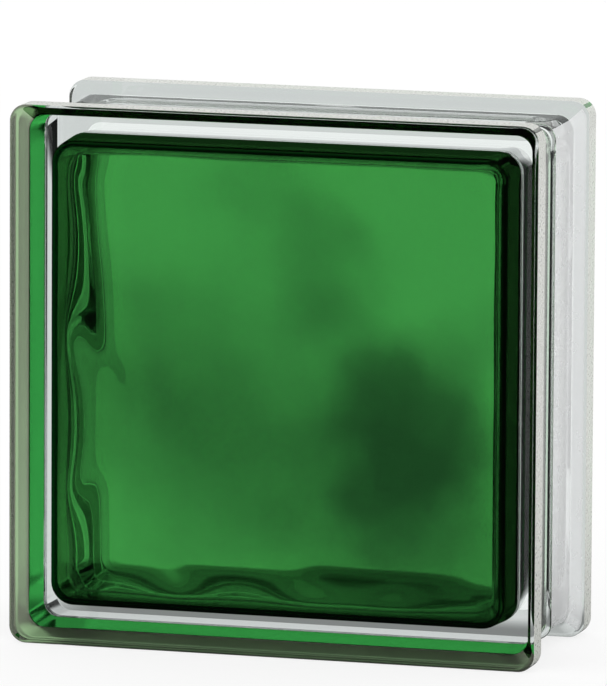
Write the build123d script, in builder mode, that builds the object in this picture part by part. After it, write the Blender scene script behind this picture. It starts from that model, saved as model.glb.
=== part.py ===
"""A hollow glass block for walls: two pressed glass shells, fused rim to rim.

Each shell is a tray. Its face is smooth outside and carries soft pillows inside. Its walls
stand back from the face's edge, so that two shells together have a mortar channel all
round between two lips. Where the rims meet, the fused seam stands a little proud.

Frame: X along the width, Y from the front face to the rear face, Z up. The origin lies
on the floor under the block's centre. All sizes are in millimetres.
"""

from build123d import *
import math
import os

# Faces and lips
face_size = 190.0
block_depth = 80.0
face_corner_radius = 6.0
face_edge_radius = 1.4
lip_depth = 11.0
lip_back_chamfer = 0.9

# Mortar channel, measured inwards from the lip
channel_foot_recess = 4.6
channel_seam_recess = 5.4
channel_foot_radius = 3.0
channel_corner_radius = 6.0

# Walls and cavity
rim_thickness = 6.9
wall_draft = 1.6
cavity_corner_radius = 8.0
panel_thickness = 8.0
panel_fillet_radius = 6.5
panel_fillet_overlap = 0.3

# Fused seam
seam_half_width = 2.6
seam_proud_outside = 1.2
seam_proud_inside = 0.8

# Small roundings follow their arc in this many chords
edge_chords = 3

# Pillows on the inside of each panel, with hollow centres from the face's middle
pillow_radius = 150.0
pillow_blend = 0.7
pillow_drop = 0.05
pillow_field = 80.0
pillow_fade = 14.0
pillow_reach = 90.0
section_count = 21
section_points = 23
hollow_centres = (
    (-74.0, 86.0),
    (-13.0, 71.0),
    (22.0, 64.0),
    (64.0, 70.0),
    (-71.0, 50.0),
    (-54.0, 38.0),
    (-2.0, 24.0),
    (40.0, 20.0),
    (80.0, 28.0),
    (-86.0, -17.0),
    (-28.0, -6.0),
    (8.0, -24.0),
    (52.0, -14.0),
    (86.0, -26.0),
    (-60.0, -64.0),
    (-12.0, -59.0),
    (28.0, -48.0),
    (62.0, -51.0),
    (80.0, -84.0),
)

shell_depth = block_depth / 2
opening = face_size - 2 * (channel_seam_recess + rim_thickness)

# A shell is drawn with its face on XY and its rim at the top, then set on one of these
front_plane = Plane(
    origin=(0, -shell_depth, face_size / 2), x_dir=(1, 0, 0), z_dir=(0, 1, 0)
)
rear_plane = Plane(
    origin=(0, shell_depth, face_size / 2), x_dir=(-1, 0, 0), z_dir=(0, -1, 0)
)


def pillow_height(u, v):
    """How far the panel swells at (u, v): shallow bowls that meet in soft ridges."""
    bowl = 2 * pillow_radius * pillow_blend
    total = sum(
        math.exp(-((u - cu) ** 2 + (v - cv) ** 2) / bowl) for cu, cv in hollow_centres
    )
    return -pillow_blend * math.log(total)


def pillow_strength(u, v):
    """One over the middle of the panel, and none where the panel meets the walls."""
    t = (pillow_field - max(abs(u), abs(v))) / pillow_fade
    t = min(max(t, 0.0), 1.0)
    return t * t * (3 - 2 * t)


def panel_depth(u, v, turned):
    """How deep the cavity starts at (u, v), behind the face's outer surface."""
    swell = pillow_height(v, -u) if turned else pillow_height(u, v)
    return panel_thickness + pillow_strength(u, v) * (swell - pillow_drop)


def make_plunger(turned):
    """The plunger that presses the pillows: waved sections, lofted across the panel."""
    half = pillow_reach
    across_panel = [half * (2 * i / (section_points - 1) - 1) for i in range(section_points)]
    up_panel = [half * (2 * i / (section_count - 1) - 1) for i in range(section_count)]
    with BuildPart() as plunger:
        for v in up_panel:
            wave = [(u, panel_depth(u, v, turned)) for u in across_panel]
            with BuildSketch(Plane(origin=(0, v, 0), x_dir=(1, 0, 0), z_dir=(0, -1, 0))):
                with BuildLine():
                    Spline(*wave)
                    Polyline(
                        wave[-1],
                        (half, 2 * shell_depth),
                        (-half, 2 * shell_depth),
                        wave[0],
                    )
                make_face()
        loft()
    return plunger.part


def across(path):
    """The plane across the start of a ring: X inwards or outwards, Y along the depth."""
    tangent = path.tangent_at(0)
    return Plane(
        origin=path.position_at(0), x_dir=Vector(0, 0, 1).cross(tangent), z_dir=tangent
    )


def inward_sign(plane):
    """Whether the X of such a plane points towards the block's middle."""
    return 1 if plane.x_dir.dot(plane.origin) < 0 else -1


def eased(start, corner, end):
    """A quarter of an arc from start to end, tangent to the lines that meet in the corner."""
    points = []
    for i in range(edge_chords + 1):
        a = math.pi / 2 * i / edge_chords
        x, y = (
            start[k] * (1 - math.sin(a)) + end[k] * (1 - math.cos(a))
            + corner[k] * (math.sin(a) + math.cos(a) - 1)
            for k in (0, 1)
        )
        points.append((x, y))
    return points


def make_cavity(turned):
    """The space inside one shell, down to its pillowed panel."""
    plunger = make_plunger(turned)
    with BuildPart() as cavity:
        with BuildSketch(Plane.XY.offset(shell_depth)) as rim:
            RectangleRounded(opening, opening, cavity_corner_radius)
        pocket_floor = panel_thickness - panel_fillet_overlap
        extrude(amount=-(shell_depth - pocket_floor), taper=wall_draft)
        fillet(cavity.faces().sort_by(Axis.Z)[0].edges(), panel_fillet_radius)
        add(plunger, mode=Mode.INTERSECT)
        # The bead inside the seam, half of it on each rim
        ring = rim.sketch.wire()
        plane = across(ring)
        s = inward_sign(plane)
        top = s * seam_proud_inside
        bead = eased((0, -seam_half_width), (top, -seam_half_width), (top, 0))
        with BuildSketch(plane):
            with BuildLine():
                Polyline((-s, 0), (-s, -seam_half_width), *bead, close=True)
            make_face()
        sweep(path=ring, mode=Mode.SUBTRACT)
    return cavity.part


def make_shell(turned):
    """One pressed shell, face down on XY."""
    cavity = make_cavity(turned)
    wall_size = face_size - 2 * channel_foot_recess
    with BuildPart() as shell:
        with BuildSketch() as face:
            RectangleRounded(face_size, face_size, face_corner_radius)
        extrude(amount=shell_depth)

        # The lip's front edge is rounded, and its back edge is eased
        ring = face.sketch.wire()
        plane = across(ring)
        s = inward_sign(plane)
        back_edge = lip_depth - lip_back_chamfer
        front_edge = eased((0, face_edge_radius), (0, 0), (s * face_edge_radius, 0))
        with BuildSketch(plane):
            with BuildLine():
                Polyline(
                    (-s, -1),
                    (-s, face_edge_radius),
                    *front_edge,
                    (s * face_edge_radius, -1),
                    close=True,
                )
            make_face()
            with BuildLine():
                Polyline(
                    (0, back_edge),
                    (-s, back_edge),
                    (-s, lip_depth + 1),
                    (s * lip_back_chamfer, lip_depth + 1),
                    (s * lip_back_chamfer, lip_depth),
                    close=True,
                )
            make_face()
        sweep(path=ring, mode=Mode.SUBTRACT)

        # The channel's half on this shell, cut round the walls
        with BuildSketch(mode=Mode.PRIVATE) as wall:
            RectangleRounded(wall_size, wall_size, channel_corner_radius)
        ring = wall.sketch.wire()
        plane = across(ring)
        s = inward_sign(plane)
        outside = -s * 2 * channel_foot_recess
        round_start = -s * channel_foot_radius
        foot = lip_depth + channel_foot_radius
        seam_foot = s * (channel_seam_recess - channel_foot_recess)
        bead_start = shell_depth - seam_half_width
        crest = seam_foot - s * seam_proud_outside
        hollow_foot = eased((round_start, lip_depth), (0, lip_depth), (0, foot))
        bead = eased((seam_foot, bead_start), (crest, bead_start), (crest, shell_depth))
        with BuildSketch(plane):
            with BuildLine():
                Polyline(
                    (outside, shell_depth),
                    (outside, lip_depth),
                    *hollow_foot,
                    *bead,
                    close=True,
                )
            make_face()
        sweep(path=ring, mode=Mode.SUBTRACT)
        add(cavity, mode=Mode.SUBTRACT)
    return shell.part


with BuildPart() as front_shell:
    add(front_plane.from_local_coords(make_shell(turned=False)))
front_shell.part.label = "front_shell"

with BuildPart() as rear_shell:
    add(rear_plane.from_local_coords(make_shell(turned=True)))
rear_shell.part.label = "rear_shell"

os.makedirs("parts", exist_ok=True)
export_step(front_shell.part, "parts/front_shell.step")
export_step(rear_shell.part, "parts/rear_shell.step")

for name, built in (("front_shell", front_shell), ("rear_shell", rear_shell)):
    box = built.part.bounding_box()
    print(name, "volume mm3", round(built.part.volume), "size mm", box.size)
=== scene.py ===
# %% [markdown]
# # A hollow glass block
# The block is two pressed glass shells, fused rim to rim around a sealed hollow. We load
# the measured model first, because every new piece has to stand exactly where it stands.

# %% Load the measured model
import bpy
import bmesh
import math
from mathutils import Matrix, Vector


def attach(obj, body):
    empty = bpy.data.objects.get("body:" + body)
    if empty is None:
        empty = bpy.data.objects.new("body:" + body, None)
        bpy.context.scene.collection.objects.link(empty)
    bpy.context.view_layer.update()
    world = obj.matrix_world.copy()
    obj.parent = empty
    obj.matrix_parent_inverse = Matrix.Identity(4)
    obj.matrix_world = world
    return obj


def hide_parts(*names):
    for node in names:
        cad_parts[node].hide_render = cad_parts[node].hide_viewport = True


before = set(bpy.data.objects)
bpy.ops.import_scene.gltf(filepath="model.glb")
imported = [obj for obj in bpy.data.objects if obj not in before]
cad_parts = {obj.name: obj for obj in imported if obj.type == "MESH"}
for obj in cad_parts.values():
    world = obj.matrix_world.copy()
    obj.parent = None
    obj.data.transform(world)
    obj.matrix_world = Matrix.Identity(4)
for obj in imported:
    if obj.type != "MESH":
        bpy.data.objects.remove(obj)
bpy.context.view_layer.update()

MM = 0.001

# %% [markdown]
# ## The camera
# The photograph was taken from a little above and to the right of the block, from far
# away, so a long lens on a distant camera gives nearly parallel edges. The camera aims at
# the block's middle and is then shifted a little, until the edges lie as in the picture.

# %% Camera
camera_azimuth = 16.134
camera_elevation = 8.999
camera_roll = 0.329
camera_distance = 3.4954
camera_right_shift = 0.303 * MM
camera_up_shift = 9.567 * MM
camera_lens = 524.8
block_middle = Vector((0, 0, 95 * MM))


def set_camera():
    a, e, r = (math.radians(x) for x in (camera_azimuth, camera_elevation, camera_roll))
    back = Vector((math.sin(a) * math.cos(e), -math.cos(a) * math.cos(e), math.sin(e)))
    right = Vector((math.cos(a), math.sin(a), 0))
    up = back.cross(right)
    place = block_middle + back * camera_distance
    place += right * camera_right_shift + up * camera_up_shift
    rolled_right = right * math.cos(r) + up * math.sin(r)
    rolled_up = up * math.cos(r) - right * math.sin(r)
    axes = Matrix((rolled_right, rolled_up, back)).transposed()
    camera_data = bpy.data.cameras.new("camera")
    camera_data.sensor_fit = "VERTICAL"
    camera_data.sensor_height = 36
    camera_data.lens = camera_lens
    camera_data.clip_end = 50
    camera = bpy.data.objects.new("camera", camera_data)
    camera.matrix_world = Matrix.Translation(place) @ axes.to_4x4()
    bpy.context.scene.collection.objects.link(camera)
    bpy.context.scene.camera = camera
    return camera


camera = set_camera()
print("camera at", camera.location)

# %% [markdown]
# ## The section of the glass
# The sizes of the outside stand here once, in millimetres, as in the measured model: lips
# at both faces, a mortar channel between them, and a bead at the fused seam. The sizes of
# the hollow follow where the hollow is made.

# %% Sizes of the outside
face_half = 95.0
shell_depth = 40.0
face_corner = 6.0
face_edge = 1.4
lip_depth = 11.0
lip_back_edge = 0.9
foot_recess = 4.6
foot_radius = 3.0
slope_recess = 4.2
slope_rise = 2.8
seam_recess = 5.4
bead_half_width = 2.6
bead_outside = 1.2
rim_thickness = 6.9

# An extra loop this far from a rounding keeps the flat beside it flat
flat_support = 0.4
face_support = 3.0

# Points closer than this, in metres, count as lying in one plane
same_plane = 0.001 * MM
print("block", 2 * face_half, "mm square and", 2 * shell_depth, "mm deep")

# %% [markdown]
# ## Growing a body from its outline
# Each skin starts as a flat plane with its corners bevelled. Its edge loop is then extruded
# along the depth and resized step by step along a section, as a potter pulls up a wall.
# This gives even rings of faces, which bend light without the flaws of a boolean's mesh.

# %% Helpers for growing a skin
def deselect():
    if bpy.context.object and bpy.context.object.mode != "OBJECT":
        bpy.ops.object.mode_set(mode="OBJECT")
    bpy.ops.object.select_all(action="DESELECT")


def start_outline(name, half, corner, corner_steps, side_cuts, depth):
    """A rounded square in the plane of the face, at one depth behind the face."""
    deselect()
    y = (depth - shell_depth) * MM
    bpy.ops.mesh.primitive_plane_add(
        size=2 * half * MM, location=(0, y, block_middle.z), rotation=(math.pi / 2, 0, 0)
    )
    skin = bpy.context.object
    skin.name = name
    bpy.ops.object.transform_apply(location=True, rotation=True, scale=True)
    bpy.ops.object.mode_set(mode="EDIT")
    bpy.ops.mesh.select_all(action="SELECT")
    bpy.ops.mesh.bevel(affect="VERTICES", offset=corner * MM, segments=corner_steps)
    if side_cuts:
        bm = bmesh.from_edit_mesh(skin.data)
        bpy.ops.mesh.select_all(action="DESELECT")
        for edge in bm.edges:
            if edge.calc_length() > half * MM:
                edge.select = True
        bmesh.update_edit_mesh(skin.data)
        bpy.ops.mesh.subdivide(number_cuts=side_cuts)
    bpy.ops.mesh.select_all(action="SELECT")
    return skin


def grow(section):
    """Extrudes the selected face along a section of (half width, depth) points."""
    half, depth = section[0]
    for next_half, next_depth in section[1:]:
        bpy.ops.mesh.extrude_region_move(
            TRANSFORM_OT_translate={"value": (0, (next_depth - depth) * MM, 0)}
        )
        s = next_half / half
        bpy.ops.transform.resize(value=(s, 1, s), center_override=block_middle)
        half, depth = next_half, next_depth


def arc(centre, radius, start, end, steps):
    """Points on an arc in the section, angles in degrees, from the width axis."""
    points = []
    for i in range(steps + 1):
        a = math.radians(start + (end - start) * i / steps)
        points.append(
            (centre[0] + radius[0] * math.cos(a), centre[1] + radius[1] * math.sin(a))
        )
    return points


def select_flat_face(skin, depth):
    """Selects only the big flat face at one depth, which spans most of the block."""
    bpy.ops.mesh.select_all(action="DESELECT")
    bm = bmesh.from_edit_mesh(skin.data)
    y = (depth - shell_depth) * MM
    big = (100 * MM) ** 2
    for face in bm.faces:
        flat = all(abs(v.co.y - y) < same_plane for v in face.verts)
        if flat and face.calc_area() > big:
            face.select = True
    bmesh.update_edit_mesh(skin.data)


def add_other_half(skin, inside):
    """Mirrors a finished front half to the back, and turns all its faces the right way."""
    bpy.ops.object.mode_set(mode="OBJECT")
    mirror = skin.modifiers.new("other half", "MIRROR")
    mirror.use_axis = (False, True, False)
    mirror.merge_threshold = 0.01 * MM
    bpy.ops.object.modifier_apply(modifier=mirror.name)
    bpy.ops.object.mode_set(mode="EDIT")
    bpy.ops.mesh.select_all(action="SELECT")
    bpy.ops.mesh.normals_make_consistent(inside=inside)
    bpy.ops.object.mode_set(mode="OBJECT")


print("a quarter of a 10 mm arc:", arc((0, 0), (10, 10), 0, 90, 2))

# %% [markdown]
# ## The outside
# The outside is modelled as half a block: the front lip, its rounded edge, the slope down
# into the channel, and the channel floor up to the fused bead. A Mirror modifier makes the
# other half, because both shells come out of the same mould outside.

# %% The lip and its front edge
lip_flat_end = lip_depth - lip_back_edge - flat_support
lip_flat_start = face_edge + flat_support
outside = start_outline("outside", face_half, face_corner, 12, 0, lip_flat_end)
grow([(face_half, lip_flat_end), (face_half, lip_flat_start)])
edge_centre = (face_half - face_edge, face_edge)
grow(
    [(face_half, lip_flat_start)]
    + arc(edge_centre, (face_edge, -face_edge), 0, 90, 10)
    + [(face_half - face_edge - 0.3, 0), (face_half - face_edge - face_support, 0)]
    + [(face_half - seam_recess - rim_thickness, 0)]
)
print("lip", len(outside.data.vertices), "vertices before its back")

# %% The lip's back, the channel and the bead
select_flat_face(outside, lip_flat_end)
back_edge = arc(
    (face_half - lip_back_edge, lip_depth - lip_back_edge),
    (lip_back_edge, lip_back_edge), 0, 85, 6,
)
foot_half = face_half - foot_recess
foot_end = lip_depth + foot_radius
slope_end = (face_half - slope_recess, lip_depth + slope_rise)

# The slope is straight, with a small rounding of two or three points at either end
slope = [
    (face_half - lip_back_edge - 0.25, lip_depth + 0.1),
    (face_half - lip_back_edge - 0.6, lip_depth + 0.35),
    (slope_end[0] + 0.4, slope_end[1] - 0.34),
    slope_end,
    (foot_half + 0.1, slope_end[1] + 0.5),
    (foot_half, foot_end + 0.9),
    (foot_half - 0.03, foot_end + 1.7),
]
seam_foot = (face_half - seam_recess, shell_depth - bead_half_width)
bead = arc((seam_foot[0], shell_depth), (bead_outside, bead_half_width), -90, 0, 8)
grow(
    [(face_half, lip_flat_end)] + back_edge + slope
    + [(seam_foot[0] + 0.02, seam_foot[1] - flat_support)] + bead
)
select_flat_face(outside, shell_depth)
bpy.ops.mesh.delete(type="ONLY_FACE")
add_other_half(outside, inside=False)
print("outside", len(outside.data.vertices), "vertices")

# %% [markdown]
# ## The hollow
# The hollow is grown the same way, from the fused rim down its drafted walls to the round
# corner at the panel. The panel itself is filled with an even grid, so that the pillows
# can be pressed into it.

# %% Sizes of the hollow
bead_inside = 0.8
wall_draft = 1.6
cavity_corner = 8.0
panel_thickness = 8.0
panel_fillet = 6.5
fillet_overlap = 0.3
cuts_along_side = 65
print("panel", panel_thickness, "mm thick, and rim", rim_thickness, "mm")

# %% Front half of the hollow's walls
rim_half = face_half - seam_recess - rim_thickness
wall_foot = shell_depth - bead_half_width
draft = math.tan(math.radians(wall_draft))
fillet_top = panel_thickness - fillet_overlap + panel_fillet
fillet_half = rim_half - (wall_foot - fillet_top) * draft
hollow = start_outline(
    "hollow", rim_half - bead_inside, cavity_corner, 8, cuts_along_side, shell_depth
)
bead_in = arc((rim_half, shell_depth), (-bead_inside, -bead_half_width), 0, 90, 6)
floor_corner = arc(
    (fillet_half - panel_fillet, fillet_top), (panel_fillet, -panel_fillet), 0, 90, 10
)
floor_corner = [(h, d) for h, d in floor_corner if d > panel_thickness + 0.1]
drop = fillet_top - panel_thickness
floor_half = fillet_half - panel_fillet + math.sqrt(panel_fillet**2 - drop**2)
floor_corner.append((floor_half, panel_thickness))
grow(bead_in + [(rim_half - 0.02, wall_foot - 0.5)] + floor_corner)
select_flat_face(hollow, shell_depth)
bpy.ops.mesh.delete(type="ONLY_FACE")
select_flat_face(hollow, panel_thickness)
bpy.ops.mesh.delete(type="ONLY_FACE")
print("panel inside", round(2 * floor_half, 2), "mm wide")

# %% Fill the panel with an even grid
def fill_panel(skin, depth):
    """Fills the open edge at one depth with a grid that starts at its top right corner."""
    bm = bmesh.from_edit_mesh(skin.data)
    y = (depth - shell_depth) * MM
    bpy.ops.mesh.select_all(action="DESELECT")
    rim = [
        edge for edge in bm.edges
        if edge.is_boundary and all(abs(v.co.y - y) < same_plane for v in edge.verts)
    ]
    for edge in rim:
        edge.select = True
    corner = max({v for edge in rim for v in edge.verts}, key=lambda v: v.co.x + v.co.z)
    bm.select_history.clear()
    bm.select_history.add(corner)
    bmesh.update_edit_mesh(skin.data)
    print("panel edge", len(rim), "edges")
    bpy.ops.mesh.fill_grid(span=len(rim) // 4, use_interp_simple=True)


fill_panel(hollow, panel_thickness)
add_other_half(hollow, inside=True)
print("hollow", len(hollow.data.vertices), "vertices")

# %% [markdown]
# ## The pillows
# A plunger presses shallow bowls into each panel, which meet in soft ridges. They make the
# view through the block waver. Their height is a formula of the place on the panel, the
# same as in the measured model, and fades out before the walls.

# %% The height of the pillows
pillow_radius = 150.0
pillow_blend = 0.7
pillow_drop = 0.05
pillow_field = 80.0
pillow_fade = 14.0
hollow_centres = (
    (-74.0, 86.0), (-13.0, 71.0), (22.0, 64.0), (64.0, 70.0),
    (-71.0, 50.0), (-54.0, 38.0), (-2.0, 24.0), (40.0, 20.0),
    (80.0, 28.0), (-86.0, -17.0), (-28.0, -6.0), (8.0, -24.0),
    (52.0, -14.0), (86.0, -26.0), (-60.0, -64.0), (-12.0, -59.0),
    (28.0, -48.0), (62.0, -51.0), (80.0, -84.0),
)


def swell(u, v):
    """How far the panel swells at (u, v) from its middle, in millimetres."""
    bowl = 2 * pillow_radius * pillow_blend
    total = sum(
        math.exp(-((u - cu) ** 2 + (v - cv) ** 2) / bowl) for cu, cv in hollow_centres
    )
    return -pillow_blend * math.log(total) - pillow_drop


def strength(u, v):
    """One over most of the panel, and none where the panel meets the walls."""
    t = min(max((pillow_field - max(abs(u), abs(v))) / pillow_fade, 0.0), 1.0)
    return t * t * (3 - 2 * t)


print("swell in the panel's middle", round(swell(0, 0), 3), "mm")

# %% Press the pillows
panel_y = (shell_depth - panel_thickness) * MM
pressed = 0
for vertex in hollow.data.vertices:
    if abs(abs(vertex.co.y) - panel_y) < same_plane:
        u = vertex.co.x / MM
        v = (vertex.co.z - block_middle.z) / MM
        if vertex.co.y < 0:
            vertex.co.y += strength(u, v) * swell(u, v) * MM
        else:
            vertex.co.y -= strength(u, v) * swell(v, u) * MM
        pressed += 1
print("pressed", pressed, "points of the two panels")

# %% [markdown]
# ## Materials
# Every finish of the block starts as an empty material, and what several finishes share
# is a node group with named sockets. A few small helpers keep the cells that follow short.

# %% Helpers for materials and node groups
def new_material(name):
    """A material that holds only its output, with its nodes and links."""
    material = bpy.data.materials.new(name)
    material.use_nodes = True
    nodes = material.node_tree.nodes
    nodes.clear()
    output = nodes.new("ShaderNodeOutputMaterial")
    return material, nodes, material.node_tree.links, output


def new_group(name, inputs, outputs):
    """An empty node group with the named sockets: (name, type, default)."""
    tree = bpy.data.node_groups.new(name, "ShaderNodeTree")
    for socket_name, kind, default in inputs:
        socket = tree.interface.new_socket(socket_name, in_out="INPUT", socket_type=kind)
        if default is not None:
            socket.default_value = default
    for socket_name, kind in outputs:
        tree.interface.new_socket(socket_name, in_out="OUTPUT", socket_type=kind)
    return tree, tree.nodes.new("NodeGroupInput"), tree.nodes.new("NodeGroupOutput")


print(len(bpy.data.materials), "materials came with the measured model")

# %% Helpers for single nodes
def math_node(tree, operation, *values):
    """One sum of numbers and sockets."""
    node = tree.nodes.new("ShaderNodeMath")
    node.operation = operation
    for i, value in enumerate(values):
        if isinstance(value, (int, float)):
            node.inputs[i].default_value = value
        else:
            tree.links.new(value, node.inputs[i])
    return node.outputs[0]


def pick(tree, factor, one, other):
    """One colour where the factor is 0 and the other where it is 1."""
    mix = tree.nodes.new("ShaderNodeMix")
    mix.data_type = "RGBA"
    tree.links.new(factor, mix.inputs["Factor"])
    # In a Mix node for colours, inputs 6 and 7 are its colours and output 2 is the result
    for socket, colour in ((mix.inputs[6], one), (mix.inputs[7], other)):
        if isinstance(colour, tuple):
            socket.default_value = colour
        else:
            tree.links.new(colour, socket)
    return mix.outputs[2]


def ramp(tree, value, span, low, high):
    """A smooth step from low to high while the value goes through the span."""
    step = tree.nodes.new("ShaderNodeMapRange")
    step.interpolation_type = "SMOOTHSTEP"
    settings = {
        "Value": value, "From Min": span[0], "From Max": span[1],
        "To Min": low, "To Max": high,
    }
    for socket_name, setting in settings.items():
        if isinstance(setting, (int, float)):
            step.inputs[socket_name].default_value = setting
        else:
            tree.links.new(setting, step.inputs[socket_name])
    return step.outputs["Result"]


white = (1, 1, 1, 1)
print("white is", white)

# %% [markdown]
# ## Clouds of painted shade in the coat
# The green face shows soft dark clouds. They are painted into the coat's tint: partly as
# painted shade of dark surroundings that the waves bend into view, and partly as a coat that
# lies thicker in places. They could be painted as an image, but a few round spots that fall
# off smoothly need none. A noise moves the place at which the spots are read, so that their
# edges drift like smoke.

# %% Places, radii and strengths of the clouds, from the middle of the face
coat_depth = -31.5 * MM
drift_scale = 20
ripple_scale = 45
ripple_height = 0.2
# Each spot darkens the coat's tint: partly painted shade of dark surroundings seen through
# the waves, and partly a thicker coat
cloud_spots = (
    ((-4, 62), 34, 0.3), ((18, 36), 38, 0.5), ((50, -13), 56, 0.9), ((18, -36), 46, 0.3),
    ((-24, 6), 60, 0.32), ((-70, -6), 60, 0.35), ((78, -62), 60, 0.45),
    ((-12, -30), 78, 0.44), ((46, -54), 44, 0.3), ((74, 28), 32, 0.2),
)
print("clouds in the coat:", len(cloud_spots), "soft spots")

# %% A node group for the clouds, with a place that drifts
clouds, entry, leave = new_group(
    "soft clouds",
    [("Vector", "NodeSocketVector", None), ("Drift", "NodeSocketFloat", 0.06)],
    [("Mask", "NodeSocketFloat")],
)
noise = clouds.nodes.new("ShaderNodeTexNoise")
noise.inputs["Scale"].default_value = drift_scale
noise.inputs["Detail"].default_value = 2.5
clouds.links.new(entry.outputs["Vector"], noise.inputs["Vector"])
centred = clouds.nodes.new("ShaderNodeVectorMath")
centred.operation = "SUBTRACT"
clouds.links.new(noise.outputs["Color"], centred.inputs[0])
centred.inputs[1].default_value = (0.5, 0.5, 0.5)
scaled = clouds.nodes.new("ShaderNodeVectorMath")
scaled.operation = "SCALE"
clouds.links.new(centred.outputs[0], scaled.inputs[0])
clouds.links.new(entry.outputs["Drift"], scaled.inputs["Scale"])
moved = clouds.nodes.new("ShaderNodeVectorMath")
moved.operation = "ADD"
clouds.links.new(entry.outputs["Vector"], moved.inputs[0])
clouds.links.new(scaled.outputs[0], moved.inputs[1])
print("drifting place:", len(clouds.nodes), "nodes")

# %% Add up the soft spots and a fine ripple
total = None
for (u, v), radius, weight in cloud_spots:
    apart = clouds.nodes.new("ShaderNodeVectorMath")
    apart.operation = "DISTANCE"
    clouds.links.new(moved.outputs[0], apart.inputs[0])
    apart.inputs[1].default_value = (u * MM, coat_depth, block_middle.z + v * MM)
    fall = clouds.nodes.new("ShaderNodeMapRange")
    fall.interpolation_type = "SMOOTHERSTEP"
    clouds.links.new(apart.outputs["Value"], fall.inputs["Value"])
    fall.inputs["From Min"].default_value = radius * MM
    fall.inputs["From Max"].default_value = 0.0
    fall.inputs["To Max"].default_value = weight
    spot = fall.outputs["Result"]
    total = spot if total is None else math_node(clouds, "ADD", total, spot)
fine = clouds.nodes.new("ShaderNodeTexNoise")
fine.inputs["Scale"].default_value = ripple_scale
fine.inputs["Detail"].default_value = 3
clouds.links.new(entry.outputs["Vector"], fine.inputs["Vector"])
ripple = math_node(
    clouds, "MULTIPLY_ADD", fine.outputs["Fac"], ripple_height, -ripple_height / 2
)
total = math_node(clouds, "ADD", total, ripple)
total = math_node(clouds, "MINIMUM", math_node(clouds, "MAXIMUM", total, 0.0), 1.0)
clouds.links.new(total, leave.inputs["Mask"])
print("clouds:", len(clouds.nodes), "nodes")

# %% [markdown]
# ## The skin of pressed glass
# Pressed glass keeps faint waves from the cool mould, and a lip that was ground or worn
# has a fine grain. Both are one noise, which drives a slight relief and a slight change
# of roughness. Only its scale and its strength differ between the finishes.

# %% A node group for the skin of pressed glass
skin_relief_depth = 0.2 * MM
skin, entry, leave = new_group(
    "pressed skin",
    [
        ("Vector", "NodeSocketVector", None), ("Scale", "NodeSocketFloat", 60.0),
        ("Relief", "NodeSocketFloat", 0.1), ("Smooth", "NodeSocketFloat", 0.0),
        ("Rough", "NodeSocketFloat", 0.03),
    ],
    [("Normal", "NodeSocketVector"), ("Roughness", "NodeSocketFloat")],
)
chill = skin.nodes.new("ShaderNodeTexNoise")
chill.inputs["Detail"].default_value = 3
skin.links.new(entry.outputs["Vector"], chill.inputs["Vector"])
skin.links.new(entry.outputs["Scale"], chill.inputs["Scale"])
relief = skin.nodes.new("ShaderNodeBump")
relief.inputs["Distance"].default_value = skin_relief_depth
skin.links.new(entry.outputs["Relief"], relief.inputs["Strength"])
skin.links.new(chill.outputs["Fac"], relief.inputs["Height"])
skin.links.new(relief.outputs["Normal"], leave.inputs["Normal"])
# The noise lies between 0.35 and 0.65 nearly everywhere
spread = skin.nodes.new("ShaderNodeMapRange")
spread.inputs["From Min"].default_value = 0.35
spread.inputs["From Max"].default_value = 0.65
skin.links.new(chill.outputs["Fac"], spread.inputs["Value"])
skin.links.new(entry.outputs["Smooth"], spread.inputs["To Min"])
skin.links.new(entry.outputs["Rough"], spread.inputs["To Max"])
skin.links.new(spread.outputs["Result"], leave.inputs["Roughness"])
print("pressed skin:", len(skin.nodes), "nodes")

# %% [markdown]
# ## Clear glass
# Clear glass is a Principled BSDF that transmits its light. Four finishes are made from
# it: plain glass, a greyer one on the rear rim for the light that is lost where one looks
# along the whole depth of the wall, a milky one on the rear channel at the right, and the
# sanded sides of the lips.

# %% Clear and sanded glass
glass_ior = 1.51


def pressed_glass(name, colour, clearness, scale, relief_strength, smooth, rough):
    """Glass with the pressed skin, placed on the piece's own coordinates."""
    material, nodes, links, output = new_material(name)
    place = nodes.new("ShaderNodeTexCoord")
    group = nodes.new("ShaderNodeGroup")
    group.node_tree = skin
    links.new(place.outputs["Object"], group.inputs["Vector"])
    group.inputs["Scale"].default_value = scale
    group.inputs["Relief"].default_value = relief_strength
    group.inputs["Smooth"].default_value = smooth
    group.inputs["Rough"].default_value = rough
    shader = nodes.new("ShaderNodeBsdfPrincipled")
    shader.inputs["Base Color"].default_value = (*colour, 1)
    shader.inputs["IOR"].default_value = glass_ior
    shader.inputs["Transmission Weight"].default_value = clearness
    links.new(group.outputs["Roughness"], shader.inputs["Roughness"])
    links.new(group.outputs["Normal"], shader.inputs["Normal"])
    links.new(shader.outputs[0], output.inputs[0])
    return material


plain_glass = pressed_glass("plain_glass", (0.87, 0.915, 0.895), 1.0, 45, 0.04, 0.0, 0.02)
thick_glass = pressed_glass("thick_glass", (0.48, 0.51, 0.505), 1.0, 45, 0.04, 0.0, 0.02)
channel_glass = pressed_glass("channel_glass", (0.97, 0.985, 0.99), 0.35, 160, 0.3, 0.1, 0.3)
frosted_side = pressed_glass("frosted_side", (0.9, 0.92, 0.86), 0.3, 900, 0.5, 0.2, 0.5)
for glass in (plain_glass, thick_glass, channel_glass, frosted_side):
    print("glass", glass.name)

# %% [markdown]
# ## The green coats
# The coat lies on the front shell like a film without thickness. Light that crosses it is
# tinted once, and light that is thrown back inside the glass goes through the film twice,
# so it comes out darker. A Principled BSDF has one tint for both, so each coat is built
# from Refraction and Glossy shaders, mixed by Fresnel, with one tint for each way.

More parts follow.
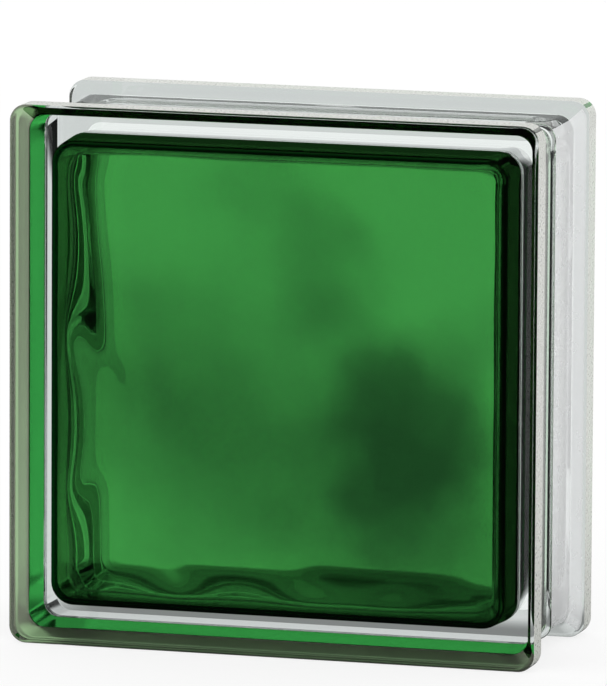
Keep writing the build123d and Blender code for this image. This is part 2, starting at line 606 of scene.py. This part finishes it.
# %% A helper for the coats
def coat_material(name, bright, dark, thrown_bright, thrown_dark, roughness, milky=None):
    """Coated glass: tinted where light crosses it, darker where it is thrown back inside.

    Milky is the colour and the share of a sanded skin that scatters light, if there is one.
    """
    material, nodes, links, output = new_material(name)
    place = nodes.new("ShaderNodeTexCoord")
    cloud = nodes.new("ShaderNodeGroup")
    cloud.node_tree = clouds
    links.new(place.outputs["Object"], cloud.inputs["Vector"])
    tree = material.node_tree
    # The darker tints that the cloud mask lays in are partly painted shade of dark
    # surroundings seen through the waves, and partly a thicker coat
    mask = cloud.outputs["Mask"]
    tint = pick(tree, mask, (*bright, 1), (*dark, 1))
    thrown_tint = pick(tree, mask, (*thrown_bright, 1), (*thrown_dark, 1))
    crossing = nodes.new("ShaderNodeBsdfRefraction")
    links.new(tint, crossing.inputs["Color"])
    crossing.inputs["Roughness"].default_value = roughness
    crossing.inputs["IOR"].default_value = glass_ior
    inner = nodes.new("ShaderNodeBsdfGlossy")
    links.new(thrown_tint, inner.inputs["Color"])
    inner.inputs["Roughness"].default_value = roughness
    outer = nodes.new("ShaderNodeBsdfGlossy")
    outer.inputs["Color"].default_value = white
    outer.inputs["Roughness"].default_value = roughness
    geometry = nodes.new("ShaderNodeNewGeometry")
    side = nodes.new("ShaderNodeMixShader")
    links.new(geometry.outputs["Backfacing"], side.inputs[0])
    links.new(outer.outputs[0], side.inputs[1])
    links.new(inner.outputs[0], side.inputs[2])
    fresnel = nodes.new("ShaderNodeFresnel")
    fresnel.inputs["IOR"].default_value = glass_ior
    mix = nodes.new("ShaderNodeMixShader")
    links.new(fresnel.outputs[0], mix.inputs[0])
    links.new(crossing.outputs[0], mix.inputs[1])
    links.new(side.outputs[0], mix.inputs[2])
    finished = mix
    if milky:
        colour, share = milky
        scatter = nodes.new("ShaderNodeBsdfTranslucent")
        scatter.inputs["Color"].default_value = (*colour, 1)
        finished = nodes.new("ShaderNodeMixShader")
        finished.inputs[0].default_value = share
        links.new(mix.outputs[0], finished.inputs[1])
        links.new(scatter.outputs[0], finished.inputs[2])
    links.new(finished.outputs[0], output.inputs[0])
    return material


print("coats on glass that bends light by", glass_ior)

# %% Green coats
panel_coat = coat_material(
    "panel_coat", (0.063, 0.37, 0.076), (0.015, 0.075, 0.02),
    (0.0, 0.03, 0.005), (0.0, 0.02, 0.003), 0.0,
)
wall_coat = coat_material(
    "wall_coat", (0.37, 0.32, 0.35), (0.22, 0.2, 0.2),
    (0.01, 0.05, 0.01), (0.005, 0.03, 0.005), 0.0,
)
channel_coat = coat_material(
    "channel_coat", (0.75, 0.9, 0.75), (0.6, 0.8, 0.6),
    (0.055, 0.46, 0.09), (0.04, 0.36, 0.07), 0.12,
)
# The lip's back has a darker coat for the top and the right, and a lighter, milky copy for
# the bottom and the left; the lighter tint is painted light
lip_coat = coat_material(
    "lip_coat", (0.14, 0.27, 0.11), (0.1, 0.2, 0.08),
    (0.03, 0.12, 0.02), (0.02, 0.09, 0.02), 0.15,
)
lit_frosted_lip_coat = coat_material(
    "lit_frosted_lip_coat", (0.36, 0.6, 0.3), (0.3, 0.5, 0.25),
    (0.6, 0.66, 0.5), (0.5, 0.56, 0.42), 0.25, ((0.66, 0.7, 0.55), 0.36),
)
for coat in (panel_coat, wall_coat, channel_coat, lip_coat, lit_frosted_lip_coat):
    print("coat", coat.name)

# %% [markdown]
# ## One fused body
# The front half wears the coats: the panel, the walls of the hollow, the channel and the
# lip's back. The lip's back is lighter at the bottom and the left: painted light, standing
# for the light those sides catch. There it also scatters some light, like frosted glass.
# Each face gets its finish by its place and by the way it faces. Then the outside and the
# hollow become one body, because a fused block has no face at the seam.

# %% Give the hollow its finishes
finishes = (
    plain_glass, panel_coat, wall_coat, channel_coat, lip_coat, lit_frosted_lip_coat,
    frosted_side, thick_glass, channel_glass,
)
slot_of = {material.name: i for i, material in enumerate(finishes)}
for material in finishes:
    outside.data.materials.append(material)
    hollow.data.materials.append(material)
for face in hollow.data.polygons:
    if face.center.y < 0:
        face.material_index = slot_of["panel_coat" if face.normal.y > 0.5 else "wall_coat"]
print("hollow", len(hollow.data.polygons), "faces")

# %% Give the outside its finishes
side_zone = face_half - 1.2
side_depth = lip_depth - 0.2
rim_zone = 84.0

# In square metres, between a face of the rear rim and the one flat face inside the rim
panel_area = 0.005
for face in outside.data.polygons:
    across = face.center.x
    up = face.center.z - block_middle.z
    half = max(abs(across), abs(up)) / MM
    behind = shell_depth - abs(face.center.y) / MM
    sideways = abs(face.normal.y) < 0.3
    in_front = face.center.y < 0
    if half > side_zone and sideways and behind < side_depth:
        face.material_index = slot_of["frosted_side"]
    elif in_front and face.normal.y > 0.3:
        # The bottom and the left of the lip's back get the lighter copy of the coat, as
        # painted light
        lit_side = min(across, up) < -max(across, up)
        face.material_index = slot_of["lit_frosted_lip_coat" if lit_side else "lip_coat"]
    elif in_front and sideways:
        face.material_index = slot_of["channel_coat"]
    elif not in_front and face.normal.y > 0.9 and half > rim_zone and face.area < panel_area:
        face.material_index = slot_of["thick_glass"]
    elif not in_front and behind > lip_depth and across > abs(up):
        face.material_index = slot_of["channel_glass"]
counts = [0] * len(finishes)
for face in list(outside.data.polygons) + list(hollow.data.polygons):
    counts[face.material_index] += 1
print("faces of each finish", dict(zip(slot_of, counts)))

# %% Join the outside and the hollow
deselect()
outside.select_set(True)
hollow.select_set(True)
bpy.context.view_layer.objects.active = outside
bpy.ops.object.join()
glass_body = bpy.context.object
glass_body.name = "glass_body"
bpy.ops.object.shade_smooth()
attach(glass_body, "root")
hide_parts("front_shell", "rear_shell")
print("glass body", len(glass_body.data.polygons), "faces")

# %% [markdown]
# ## The studio
# Glass shows what stands around it. For light that passes through the block, the studio is
# white and a little greyer overhead, apart from one dark card behind it to the right, which
# draws the dark lines along its edges. Reflections see a bright wall behind the block and a
# dim room on the camera's side, so that the face stays clear of haze.

# %% The studio's walls, as parts of a direction of length 1
card_left_edge = (0.02, 0.16)
card_right_edge = (0.5, 0.62)
card_near_edge = (0.2, 0.4)
card_darkness = 0.97
overhead_span = (-0.05, 0.3)
overhead_grey = 0.62
wall_span = (-0.1, 0.35)
dim_side = 0.015
bright_side = 0.8
print("dim side", dim_side, "and bright side", bright_side)

# %% A node group for the studio's walls
studio, entry, leave = new_group(
    "studio walls",
    [("Direction", "NodeSocketVector", None), ("Dim side", "NodeSocketFloat", dim_side)],
    [("Through glass", "NodeSocketColor"), ("In reflections", "NodeSocketColor")],
)
unit = studio.nodes.new("ShaderNodeVectorMath")
unit.operation = "NORMALIZE"
studio.links.new(entry.outputs["Direction"], unit.inputs[0])
axes = studio.nodes.new("ShaderNodeSeparateXYZ")
studio.links.new(unit.outputs[0], axes.inputs[0])
card_width = math_node(
    studio, "MULTIPLY",
    ramp(studio, axes.outputs["X"], card_left_edge, 0.0, 1.0),
    ramp(studio, axes.outputs["X"], card_right_edge, 1.0, 0.0),
)
card_behind = ramp(studio, axes.outputs["Y"], card_near_edge, 0.0, card_darkness)
card = math_node(studio, "MULTIPLY", card_width, card_behind)
overhead = ramp(studio, axes.outputs["Z"], overhead_span, 1.0, overhead_grey)
beside_card = math_node(studio, "SUBTRACT", 1.0, card)
through = math_node(studio, "MULTIPLY", beside_card, overhead)
studio.links.new(through, leave.inputs["Through glass"])
mirrored = ramp(
    studio, axes.outputs["Y"], wall_span, entry.outputs["Dim side"], bright_side
)
studio.links.new(mirrored, leave.inputs["In reflections"])
print("studio walls:", len(studio.nodes), "nodes")

# %% [markdown]
# ## The world
# The camera and diffuse light see plain white. A Light Path node tells the other rays
# apart: Blender counts a ray that passes through glass as glossy too, so a pure
# reflection is glossy and not transmitted.

# %% World
def mirror_rays(tree, path):
    """Rays that were thrown back, and didn't pass through glass last."""
    return math_node(
        tree, "SUBTRACT", path.outputs["Is Glossy Ray"], path.outputs["Is Transmission Ray"]
    )


world = bpy.data.worlds.new("studio")
bpy.context.scene.world = world
world.use_nodes = True
tree = world.node_tree
nodes = tree.nodes
links = tree.links
nodes.clear()
output = nodes.new("ShaderNodeOutputWorld")
background = nodes.new("ShaderNodeBackground")
way = nodes.new("ShaderNodeTexCoord")
walls = nodes.new("ShaderNodeGroup")
walls.node_tree = studio
links.new(way.outputs["Generated"], walls.inputs["Direction"])
path = nodes.new("ShaderNodeLightPath")
shown = pick(
    tree, mirror_rays(tree, path), walls.outputs["Through glass"],
    walls.outputs["In reflections"],
)
shown = pick(tree, path.outputs["Is Camera Ray"], shown, white)
shown = pick(tree, path.outputs["Is Diffuse Ray"], shown, white)
links.new(shown, background.inputs["Color"])
links.new(background.outputs[0], output.inputs[0])
print("world strength", background.inputs["Strength"].default_value)

# %% [markdown]
# ## The floor
# The floor is a wide pale sheet. Seen through glass it is white, apart from the shade
# under and close behind the block and the foot of the dark card. For the camera it is
# mostly white paper that glows, with a share of plain diffuse that keeps the shadow.

# %% The floor's sheet, and the shade on it in metres from the block's middle
deselect()
bpy.ops.mesh.primitive_plane_add(size=8, location=(0, 0, 0))
floor = bpy.context.object
floor.name = "floor"
shade_side_edge = (0.086, 0.115)
shade_strength = 0.94
under_edge = (0.042, 0.062)
behind_shift = 0.02
behind_edge = (0.045, 0.072)
behind_strength = 0.68
card_foot_left_edge = (0.084, 0.1)
card_foot_near_edge = (0.04, 0.1)
card_foot_strength = 0.985
floor_span = (-0.1, 0.4)
print("floor", floor.dimensions.x, "m wide")

# %% How light the floor looks through glass and in reflections
paper, nodes, links, output = new_material("floor_white")
tree = paper.node_tree
place = nodes.new("ShaderNodeTexCoord")
spot = nodes.new("ShaderNodeSeparateXYZ")
links.new(place.outputs["Object"], spot.inputs[0])
from_middle = math_node(tree, "ABSOLUTE", spot.outputs["X"])
from_axis = math_node(tree, "ABSOLUTE", spot.outputs["Y"])
behind_middle = math_node(tree, "SUBTRACT", spot.outputs["Y"], behind_shift)
from_behind_middle = math_node(tree, "ABSOLUTE", behind_middle)
shade_under = ramp(tree, from_axis, under_edge, 1.0, 0.0)
shade_behind = ramp(tree, from_behind_middle, behind_edge, behind_strength, 0.0)
shade = math_node(
    tree, "MULTIPLY",
    ramp(tree, from_middle, shade_side_edge, shade_strength, 0.0),
    math_node(tree, "MAXIMUM", shade_under, shade_behind),
)
card_foot = math_node(
    tree, "MULTIPLY",
    ramp(tree, spot.outputs["X"], card_foot_left_edge, 0.0, card_foot_strength),
    ramp(tree, spot.outputs["Y"], card_foot_near_edge, 0.0, 1.0),
)
lit = math_node(tree, "SUBTRACT", 1.0, math_node(tree, "MAXIMUM", shade, card_foot))
mirrored = ramp(tree, spot.outputs["Y"], floor_span, dim_side, bright_side)
print("light on the floor:", len(nodes), "nodes")

# %% White paper that glows for the camera
paper_glow = (1.06, 1.06, 1.06, 1)
paper_white = (0.88, 0.88, 0.88, 1)
glow_share = 0.75
path = nodes.new("ShaderNodeLightPath")
shown = pick(tree, mirror_rays(tree, path), lit, mirrored)
shown = pick(tree, path.outputs["Is Camera Ray"], shown, paper_glow)
glow = nodes.new("ShaderNodeEmission")
links.new(shown, glow.inputs["Color"])
diffuse = nodes.new("ShaderNodeBsdfDiffuse")
diffuse.inputs["Color"].default_value = paper_white
clear_view = math_node(
    tree, "MAXIMUM", path.outputs["Is Transmission Ray"], path.outputs["Is Glossy Ray"]
)
camera_glow = math_node(tree, "MULTIPLY", path.outputs["Is Camera Ray"], glow_share)
mix = nodes.new("ShaderNodeMixShader")
links.new(math_node(tree, "MAXIMUM", clear_view, camera_glow), mix.inputs[0])
links.new(diffuse.outputs[0], mix.inputs[1])
links.new(glow.outputs[0], mix.inputs[2])
links.new(mix.outputs[0], output.inputs[0])
floor.data.materials.append(paper)
print("floor paper:", len(nodes), "nodes")

# %% [markdown]
# ## The view
# The Standard view shows each colour as it was written.

# %% View
bpy.context.scene.view_settings.view_transform = "Standard"
